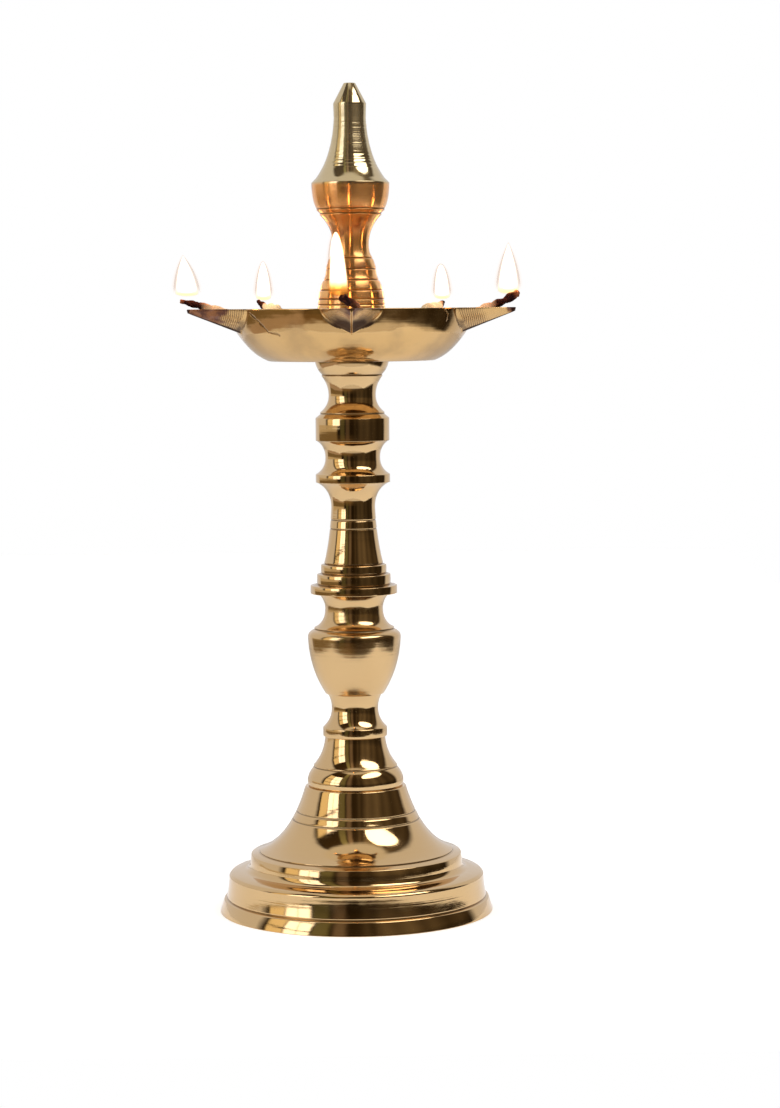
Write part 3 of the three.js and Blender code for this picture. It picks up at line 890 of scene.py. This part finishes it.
# How far out a V shape reaches in each direction at each depth, by halving
def reachOf(halfWidth, angle, depth, end, rounding, inset):
    low = np.full(angle.shape, float(spout["searchFrom"]))
    high = np.broadcast_to(end, angle.shape).copy()

    def room(along):
        aside = np.sqrt((along * np.tan(angle)) ** 2 + rounding ** 2) - rounding
        return halfWidth(along, depth) - inset - aside

    full = room(high) > 0
    for _ in range(spout["halvings"]):
        middle = (low + high) / 2
        inside = room(middle) > 0
        low = np.where(inside, middle, low)
        high = np.where(inside, high, middle)
    along = np.where(full, end, low)
    return along / np.cos(angle)


def softMax(a, b, blend):
    return (a + b + np.sqrt((a - b) ** 2 + blend ** 2)) / 2 - blend / 2 * np.exp(-np.abs(a - b) / blend)


def climb(values, low, high):
    return np.clip((values - low) / (high - low), 0, 1)


def spoutAngle(place):
    return -math.pi / 2 + place * 2 * math.pi / spout["count"]


# How far out from the lamp's axis each point is, in the direction of one spout
def alongSpout(places, place):
    angle = spoutAngle(place)
    return (places[:, 0] * math.cos(angle) + (places[:, 1] - axisY) * math.sin(angle)) / mm


# How far each flame has coloured and blackened its spout, where shade is painted in its corners, and the way
# its sides were filed
def markSmokeAndShade(piece):
    s = smokeAndShade
    places = readPlaces(piece)
    depth = bowlRim - places[:, 2] / mm
    marks = {name: np.zeros(len(places)) for name in ("smoked", "keel", "stroke")}
    for place, (start, full, black, sooty) in enumerate(s["spouts"]):
        along = alongSpout(places, place)
        aside = np.abs(alongSpout(places, place + spout["count"] / 4))
        deepest = rootToTip(np.minimum(along, spout["tipRadius"]), spout["rootDepth"], spout["tipDepth"])
        share = depth / deepest
        # painted shade in the corner where the spout meets the bowl
        corner = s["corner"] * climb(along, *s["cornerEnds"]) * climb(share, *s["cornerDepth"])
        soot = np.clip(np.maximum.reduce([(share - sooty) / (1 - sooty), along - black, corner]), 0, 1)
        heat = climb(along, start, full)
        if place == 0:
            worn = climb(aside, *s["keelWorn"])
            heat, soot = heat * worn, soot * worn * climb(along, *s["rootSootAndShade"])
        here = (along > s["markedFrom"]) & (aside < s["markedWidth"])
        for name, values in zip(marks, (heat, soot, along - s["strokeSlope"] * aside)):
            marks[name] = np.where(here, values, marks[name])
    for name, values in marks.items():
        paint(piece, name, values)


# The plain turned bowl gets its five spouts by moving each wall point outwards
def pullSpouts(piece):
    s, b = spout, bowl
    places = readPlaces(piece) / mm
    x, y, z = places[:, 0], places[:, 1] - axisY / mm, places[:, 2]
    radius = np.hypot(x, y)
    angle = np.arctan2(y, x)
    sector = 2 * math.pi / s["count"]
    nearest = np.round((angle + math.pi / 2) / sector)
    share = ((angle + math.pi / 2) - nearest * sector) / (sector / 2)
    even, wanted = zip(*b["columnPlaces"])
    share = np.sign(share) * np.interp(np.abs(share), even, wanted)
    local = share * sector / 2
    direction = nearest * sector - math.pi / 2 + local
    depth = bowlRim - z

    def wallRadius(height, inset, floor):
        t = np.linspace(0, 1, 60)
        *bilge, bilgeRise = b["bilge"]
        radii, heights = alongBend(t, b["floorRadius"], floor, *bilge, bilgeRise - floor)
        rimRadii, rimHeights = alongBend(t, bilge[-1], bilgeRise, *b["rim"])
        radii = np.concatenate([radii, rimRadii[1:]]) - inset
        heights = np.concatenate([heights, rimHeights[1:]]) + seat["bowl"]
        return np.interp(height, heights, radii)

    outside = wallRadius(z, 0, 0)
    inside = wallRadius(z, b["wall"], b["floorThick"])
    onWall = (z > seat["bowl"] + b["floorThick"] + b["wallAbove"]) & (radius > b["wallBeyond"])
    outer = onWall & (radius > (outside + inside) / 2)
    inner = onWall & ~outer
    eased = np.clip(outside - radius, 0, 1)
    reach = reachOf(spoutHalfWidth, local, depth, s["tipRadius"] - eased, s["keelRound"], eased)
    moved = np.where(outer, softMax(radius, reach, s["fillet"]), radius)
    opened = np.clip(radius - inside, 0, 1)
    reach = reachOf(troughHalfWidth, local, depth, lipRadius + opened, s["troughRound"], -opened)
    moved = np.where(inner, softMax(radius, reach, s["innerFillet"]), moved)
    places[:, 0] = moved * np.cos(direction)
    places[:, 1] = moved * np.sin(direction) + axisY / mm
    setPlaces(piece, places * mm)


def turnBowl():
    b, wall = bowl, bowl["wall"]
    bilgePullRadius, bilgePullRise, bilgeRadius, bilgeRise = b["bilge"]
    rimPullRadius, rimPullRise, rimRadius, rimRise = b["rim"]
    innerRise = bilgeRise - b["floorThick"]
    startOutline("spoutedBowl", b["bore"], seat["bowl"])
    stepTo(b["floorRadius"])
    bendTo(*b["bilge"], b["bilgeSteps"])
    bendTo(*b["rim"], b["rimSteps"])
    stepTo(rimRadius - wall)
    bendTo(rimPullRadius - wall, rimPullRise - rimRise, bilgeRadius - wall, -rimRise, b["innerSteps"])
    bendTo(bilgePullRadius - wall, bilgePullRise - innerRise, b["floorRadius"] - wall, -innerRise,
           b["innerSteps"])
    stepTo(b["bossRadius"] + b["bossFillet"])
    bendTo(b["bossRadius"], 0, b["bossRadius"], b["bossFillet"], 6)
    penTo(b["bossRadius"], seat["bowl"] + b["bossHeight"])
    stepTo(b["bore"])
    penTo(b["bore"], seat["bowl"])
    piece = spinOutline(b["columns"], b["edge"])
    pullSpouts(piece)
    markSmokeAndShade(piece)
    smoothFaces()
    dress(piece, bowlBrass, "bowl", "bowl")


turnBowl()
print("bowl turned and its spouts pulled")

finial = {
    "start": 11.8,  # drawn from the top of its socket
    "outline": (
        (bandTo, 4.8, -11.8), (stepTo, 13.9),  # socket over the tenon
        (bendTo, 12.85, 10.05, 11.8, 20.1, 18, (15.2, 17.2)), (turnedLine, 11.4),  # skirt, with two lines
        (bendTo, 11.2, 1.55, 10.4, 3.1, 8), (turnedLine, 10.1),  # ring
        (bendTo, 9.3, 1.1, 9.2, 3.3, 10), (turnedLine,), (stepTo, 8.2, 3.2), (turnedLine, 7.9),  # drum
        (bendTo, 6.6, 1.5, 6.6, 4.5, 10), (bendTo, 6.6, 5.6, 10.4, 10, 20),  # neck and cup
        (stepTo, 11.4, 1), (turnedLine,), (stepTo, 12.6, 1), (turnedLine,),  # two rings
        (bendTo, 14.2, 3, 14.3, 9.2), (stepTo, 12.7, 1.6),  # bulb and shoulder
        (bendTo, 6.6, 8.1, 5.9, 22.2, 64, (), 4),  # shaft, with ridges from 4 mm up
        (stepTo, 6.05, 4.9), (stepTo, 2.1, 7.4), (stepTo, 0),  # cap and cone
    ),
}

turnSection("finial", finial, finialBrass, "finial")
print("finial turned")

wick = {
    "strandRadius": 0.98, "strandOffset": 0.52, "twist": 9.5, "clearance": 0.35, "coreRadius": 1.5,
    "tailGap": 5, "bendRadius": 30, "samples": 90, "voxel": 0.2, "thinsFrom": 0.80,
    "wobble": 0.14, "wobbleScale": 0.6, "endShare": 0.7,
    "scorched": (9, 4), "lit": (12, 5),  # how far before the char this begins and is all there
    "burnt": (0, 0.25, 0.42, 0.62, 0.78), "ember": 2,  # length of the end that has burnt to ash
    "phase": 0.4, "seed": 3.1, "seedStep": 1.7, "roundness": 4,
    "fuzz": ((1900, 0.10), (700, 0.12)), "fuzzGrowth": (0.6, 1.6),  # scales and heights, and more on the char
}
# Beyond its trough each wick runs over these points: out along the spout, to its left looking out, and up
wicks = {
    "wick_front": {"size": 1.05, "tip": 1.2, "char": (57.2, 62.4), "end": 0.84, "glow": 0.03,
                   "over": ((50, 1.4, -1.0), (55, 1.6, 0.5), (59, 0.6, 1.5), (62, -1.8, 2.8),
                            (63.2, -3.3, 3.9))},
    "wick_right": {"size": 1.05, "tip": 1.3, "char": (52.5, 55.5), "end": 1, "glow": 0.45,
                   "over": ((49, 0, -0.8), (54, 0, 0.9), (58, 0, 2.3), (61, 0, 3.9), (63.2, 0, 5.2))},
    "wick_back_right": {"size": 0.95, "tip": 0.8, "char": (57.4, 58.6), "end": 0.8, "glow": 0.9,
                        "over": ((48, 0, 0.0), (53, 0, 0.7), (57, 0, 0.8), (59.2, 0, 1.6), (59.5, 0, 2.6))},
    "wick_back_left": {"size": 0.95, "tip": 0.8, "char": (55.6, 56.8), "end": 0.9, "glow": 0.9,
                       "over": ((46, 0, -0.4), (51, 0, 0.8), (56.5, 0, 0.8), (58.2, 0, 1.8), (60.6, 0, 2.7))},
    "wick_left": {"size": 0.98, "tip": 0.55, "char": (54.5, 57.5), "end": 1, "glow": 0.42,
                  "over": ((47, 0, -1.3), (52, 0, 0.1), (55.5, 0, 0.9), (58.8, 0, 1.6), (61.5, 0, 2.3),
                           (64.7, 0, 2.9))},
}


# The wick's route in its own spout: along, aside and height in millimetres
def wickRoute(over):
    w = wick
    lift = (w["coreRadius"] + w["clearance"]) / math.sin(math.atan(troughTan))

    def inTrough(along):
        depth = troughDepth - (along - spout["rootRadius"]) * troughSlope
        return (along, 0, bowlRim - depth + lift)

    floorHeight = seat["bowl"] + bowl["floorThick"] + w["coreRadius"] + w["clearance"]
    knots = [
        (bowl["bossRadius"] + w["tailGap"], 0, floorHeight),
        inTrough(w["bendRadius"]),
        inTrough((w["bendRadius"] + over[0][0]) / 2 - 1),
        *((along, aside, bowlRim + up) for along, aside, up in over),
    ]
    knots = [Vector(k) for k in knots]
    spaced = [0.0]
    for a, b in zip(knots, knots[1:]):
        spaced.append(spaced[-1] + (b - a).length ** 0.5)
    # a smooth curve through all knots, with one more at each end
    ends = [2 * knots[0] - knots[1], *knots, 2 * knots[-1] - knots[-2]]
    moments = [2 * spaced[0] - spaced[1], *spaced, 2 * spaced[-1] - spaced[-2]]
    route = []
    for i in range(w["samples"]):
        t = spaced[-1] * i / (w["samples"] - 1)
        k = max(j for j in range(len(knots) - 1) if spaced[j] <= t + 1e-9)
        p, q = ends[k:k + 4], moments[k:k + 4]

        def between(a, b, ta, tb):
            return a + (b - a) * ((t - ta) / (tb - ta))

        a1, a2, a3 = [between(p[j], p[j + 1], q[j], q[j + 1]) for j in range(3)]
        b1, b2 = between(a1, a2, q[0], q[2]), between(a2, a3, q[1], q[3])
        route.append(between(b1, b2, q[1], q[2]))
    return route


def layStrand(name, route, phase, angle, seed, size, tip):
    w = wick
    selectOnly()
    bpy.ops.curve.primitive_nurbs_path_add(location=(0, 0, 0))
    strand = bpy.context.object
    strand.name = name
    curve = strand.data
    curve.splines.clear()
    spline = curve.splines.new("POLY")
    last = len(route) - 1
    spline.points.add(last)
    travelled = 0
    for i, middle in enumerate(route):
        ahead = (route[min(i + 1, last)] - route[max(i - 1, 0)]).normalized()
        if i:
            travelled += (middle - route[i - 1]).length
        left = Vector((0, 0, 1)).cross(ahead).normalized()
        up = ahead.cross(left)
        turn = 2 * math.pi * travelled / w["twist"] + phase
        nearTip = max(0, (i - w["thinsFrom"] * len(route)) / ((1 - w["thinsFrom"]) * len(route)))
        thick = size + (tip - size) * nearTip
        spread = w["strandOffset"] * thick
        place = middle + (left * math.cos(turn) + up * math.sin(turn)) * spread
        wobble = noise.noise(Vector((travelled * w["wobbleScale"], seed, phase)))
        across = place.x * math.cos(angle) - place.y * math.sin(angle)
        back = place.x * math.sin(angle) + place.y * math.cos(angle)
        spline.points[i].co = (across * mm, back * mm + axisY, place.z * mm, 1)
        spline.points[i].radius = thick * (1 + w["wobble"] * wobble) * (w["endShare"] if i == last else 1)
    curve.bevel_depth = w["strandRadius"] * mm
    curve.bevel_resolution = w["roundness"]
    curve.use_fill_caps = True
    selectOnly(strand)
    bpy.ops.object.convert(target="MESH")
    return bpy.context.object


cottonLook = {
    # from clean cotton over scorched and charred to the glowing end
    "burnt": ((0.0, (0.66, 0.52, 0.34)), (0.28, (0.82, 0.46, 0.27)), (0.44, (0.40, 0.11, 0.045)),
              (0.62, (0.060, 0.015, 0.010)), (0.84, (0.030, 0.008, 0.008)), (0.93, (0.25, 0.070, 0.028)),
              (1.0, (0.42, 0.15, 0.07))),
    "fibres": (2600, 5),
    "clumps": (700, 3),
    "ragged": (0.26, -0.13),  # how far the clumps move the edge of the char
    "shade": (0.9, 0.45),
    "clumpHeight": 1.5,
    "relief": 0.12,
    "lit": (1, 0.66, 0.34),
    "glow": (0.5, 0.75),
    "rough": 0.88,
    "shine": 0.12,
}


# Cotton that has soaked up oil, scorched and then charred towards its end
def makeCotton():
    look = cottonLook
    material = newMaterial("charredCotton")
    coords = objectPlace()
    fibres, clumps = blotches(coords, *look["fibres"]), blotches(coords, *look["clumps"])
    ragged = calc("ADD", painted("burnt"), timesPlus(clumps, *look["ragged"]))
    shade = timesPlus(fibres, *look["shade"])
    grey = addNode("CombineXYZ", {}, {0: shade, 1: shade, 2: shade}).outputs[0]
    colour = blendColours(1.0, colourRamp(ragged, look["burnt"]), grey, "MULTIPLY")
    relief = timesPlus(clumps, look["clumpHeight"], fibres)
    relief = addNode("Bump", {}, {"Strength": 0.9, "Distance": look["relief"] * mm, "Height": relief})
    # painted flame light: the cotton just below the char glows as if the flame lit it through
    glow = times(painted("lit"), timesPlus(fibres, *look["glow"]))
    setSurface(addNode("BsdfPrincipled", {}, {
        "Base Color": colour, "Roughness": look["rough"], "Normal": relief.outputs[0],
        "Specular IOR Level": look["shine"], "Emission Color": look["lit"], "Emission Strength": glow}))
    return material


def twistWick(name, place, cotton):
    shape = wicks[name]
    route = wickRoute(shape["over"])
    angle = spoutAngle(place)
    size, tip = shape["size"], shape["tip"]
    phase, seed = wick["phase"] + place, place * wick["seed"]
    first = layStrand(name + "Cotton", route, phase, angle, seed, size, tip)
    second = layStrand(name + "Second", route, phase + math.pi, angle, seed + wick["seedStep"], size, tip)
    selectOnly(second, first)
    bpy.ops.object.join()
    fuse = first.modifiers.new("fuse", "REMESH")
    fuse.mode = "VOXEL"
    fuse.voxel_size = wick["voxel"] * mm
    bpy.ops.object.modifier_apply(modifier="fuse")
    places, outwards = readPlaces(first), readPlaces(first, "normal")
    along = alongSpout(places, place)
    start, full = shape["char"]
    end, glow = route[-1].x, shape["glow"]
    fuzz = np.zeros(len(places))
    for scale, height in wick["fuzz"]:
        fuzz += [noise.noise(Vector(point) * scale) * height for point in places]
    fuzz *= np.interp(along, [start, full + 1], wick["fuzzGrowth"])
    setPlaces(first, places + outwards * fuzz[:, None] * mm)
    stages = [*[start - before for before in wick["scorched"]], start, full, end - wick["ember"], end]
    paint(first, "burnt", np.interp(along, stages, [*wick["burnt"], shape["end"]]))
    stages = [*[start - before for before in wick["lit"]], start, full]
    paint(first, "lit", np.interp(along, stages, [0, glow, glow, 0]))
    bpy.ops.object.shade_smooth()
    dress(first, cotton, name, name)


cotton = makeCotton()
for place, name in enumerate(wicks):
    twistWick(name, place, cotton)
print("wicks twisted")

# Width at a height t: 1 - slope * t, closed at the top by (1 - t ** power) ** blunt
flameShape = {"slope": 0, "power": 2, "rounding": 0.13, "fullest": 0.97, "warm": 0.8, "bright": 0.12,
              "core": 0.56, "coreTop": 0.90, "haloWidth": 2.6, "haloBase": 0.03, "haloTop": 1.04,
              "sway": 1.5, "segments": 48, "rings": 44}
# Where each flame stands on its wick, and how it differs from that
flames = {
    "wick_front": {"along": 60.4, "aside": -4.3, "base": 3.4, "height": 23.2, "width": 9.0, "lean": (0, -0.9),
                   "blunt": 0.5, "slope": 0.45, "power": 5, "warm": 1.3, "bright": 0.26},
    "wick_right": {"along": 59.5, "aside": 0, "base": 3.9, "height": 18.7, "width": 8.9, "lean": (0.1, 0),
                   "blunt": 0.9},
    "wick_back_right": {"along": 59.2, "aside": 0, "base": 2.6, "height": 14.0, "width": 6.8,
                        "lean": (-0.8, 0), "blunt": 0.5},
    "wick_back_left": {"along": 57.0, "aside": 0, "base": 2.6, "height": 15.3, "width": 6.6, "lean": (0.2, 0),
                       "blunt": 0.62},
    "wick_left": {"along": 62.1, "aside": 0, "base": 3.9, "height": 15.2, "width": 9.6, "lean": (1.3, 0),
                  "blunt": 0.85},
}
coreLook = {
    "colours": ((0.0, (1.0, 0.34, 0.07)), (0.12, (1.0, 0.50, 0.16)), (0.30, (1.0, 0.60, 0.26)),
                (1.0, (1.0, 0.58, 0.24))),
    "strength": {"From Min": 0.06, "From Max": 0.3, "To Min": 0.3, "To Max": 21.0},
}
# The light of each skin fades from its middle to its rim, as inner says, and its tint grows, as outer says
skinLooks = {
    "flameShell": {"tint": (0.89, 0.865, 0.84), "glow": (1, 0.78, 0.52), "inner": (0.43, 0.17),
                   "outer": (0.26, 0.66), "warmth": 1, "strength": 1.5},
    "flameHalo": {"tint": (0.955, 0.895, 0.86), "glow": (1, 0.44, 0.12), "inner": (0.70, 0.0),
                  "outer": (0.70, 0.0), "warmth": 0, "strength": 0.06},
}
lowFlame = {"ends": (0.30, 0.08), "clear": (0.1, 0.32), "colour": (1, 0.44, 0.09),
            "yellow": (0.96, 0.78, 0.46), "yellowShare": 0.9, "yellowMiddle": (0.60, 0.16), "dimmer": 0.7}


# The bright middle is what lights the brass, and the shell is the soft edge around it
def makeFlameLight():
    material = newMaterial("flameLight")
    rise = painted("rise")
    glow = colourRamp(rise, coreLook["colours"])
    strength = addNode("MapRange", {}, {"Value": rise, **coreLook["strength"]}).outputs[0]
    setSurface(addNode("Emission", {}, {"Color": glow, "Strength": strength}))
    return material


def makeFlameSkin(name):
    look = skinLooks[name]
    material = newMaterial(name)
    rise = painted("rise")
    facing = addNode("LayerWeight", {}, {"Blend": 0.5}).outputs["Facing"]
    rim = times(fadeIn(facing, *look["outer"]), fadeIn(rise, *lowFlame["clear"]))
    low = times(fadeIn(rise, *lowFlame["ends"]), times(painted("warm"), look["warmth"]))
    through = blendColours(rim, (1, 1, 1), look["tint"])
    yellow = times(times(low, fadeIn(facing, *lowFlame["yellowMiddle"])), lowFlame["yellowShare"])
    through = blendColours(yellow, through, lowFlame["yellow"], "MULTIPLY")
    colour = blendColours(low, look["glow"], lowFlame["colour"])
    power = timesPlus(low, -lowFlame["dimmer"] * look["strength"], look["strength"])
    power = times(power, fadeIn(facing, *look["inner"]))
    light = addNode("Emission", {}, {"Color": colour, "Strength": power})
    setSurface(addShaders(light, addNode("BsdfTransparent", {}, {"Color": through})))
    return material


# A drop of light that leans a little, drawn from a ball
def blowFlame(name, wickName, place, width, low, high, material):
    f = {**flameShape, **flames[wickName]}
    angle = spoutAngle(place)
    selectOnly()
    bpy.ops.mesh.primitive_uv_sphere_add(segments=f["segments"], ring_count=f["rings"], radius=0.5 * mm,
                                         location=(0, 0, 0))
    flame = bpy.context.object
    flame.name = name
    rise = np.zeros(len(flame.data.vertices))
    for vert in flame.data.vertices:
        share = min(1, max(0, vert.co.z / mm + 0.5))
        ring = math.hypot(vert.co.x, vert.co.y)
        rounded = math.sqrt(max(0, 1 - (1 - min(share / f["rounding"], 1)) ** 2))
        closed = max(0, 1 - share ** f["power"]) ** f["blunt"]
        body = (1 - f["slope"] * share) * closed * rounded / f["fullest"]
        around = Vector((vert.co.x, vert.co.y, 0)) / ring if ring > 1e-9 else Vector((0, 0, 0))
        out = around * body * width / 2
        t = low + (high - low) * share
        sway = Vector(f["lean"]) * max(t, 0) ** f["sway"]
        along, aside = f["along"] + sway.x + out.x, f["aside"] + sway.y + out.y
        vert.co.x = (along * math.cos(angle) - aside * math.sin(angle)) * mm
        vert.co.y = (along * math.sin(angle) + aside * math.cos(angle)) * mm + axisY
        vert.co.z = (bowlRim + f["base"] + t * f["height"]) * mm
        rise[vert.index] = t
    paint(flame, "rise", rise)
    paint(flame, "warm", np.full(len(rise), f["warm"]))
    bpy.ops.object.shade_smooth()
    dress(flame, material, wickName, None)


flameLight, flameShell, flameHalo = makeFlameLight(), makeFlameSkin("flameShell"), makeFlameSkin("flameHalo")
for place, name in enumerate(wicks):
    f = {**flameShape, **flames[name]}
    width, wider = f["width"], f["width"] + f["haloWidth"]
    blowFlame(name + "Flame", name, place, width, 0, 1, flameShell)
    blowFlame(name + "FlameCore", name, place, width * f["core"], f["bright"], f["coreTop"], flameLight)
    blowFlame(name + "FlameHalo", name, place, wider, f["haloBase"], f["haloTop"], flameHalo)
print("flames lit")
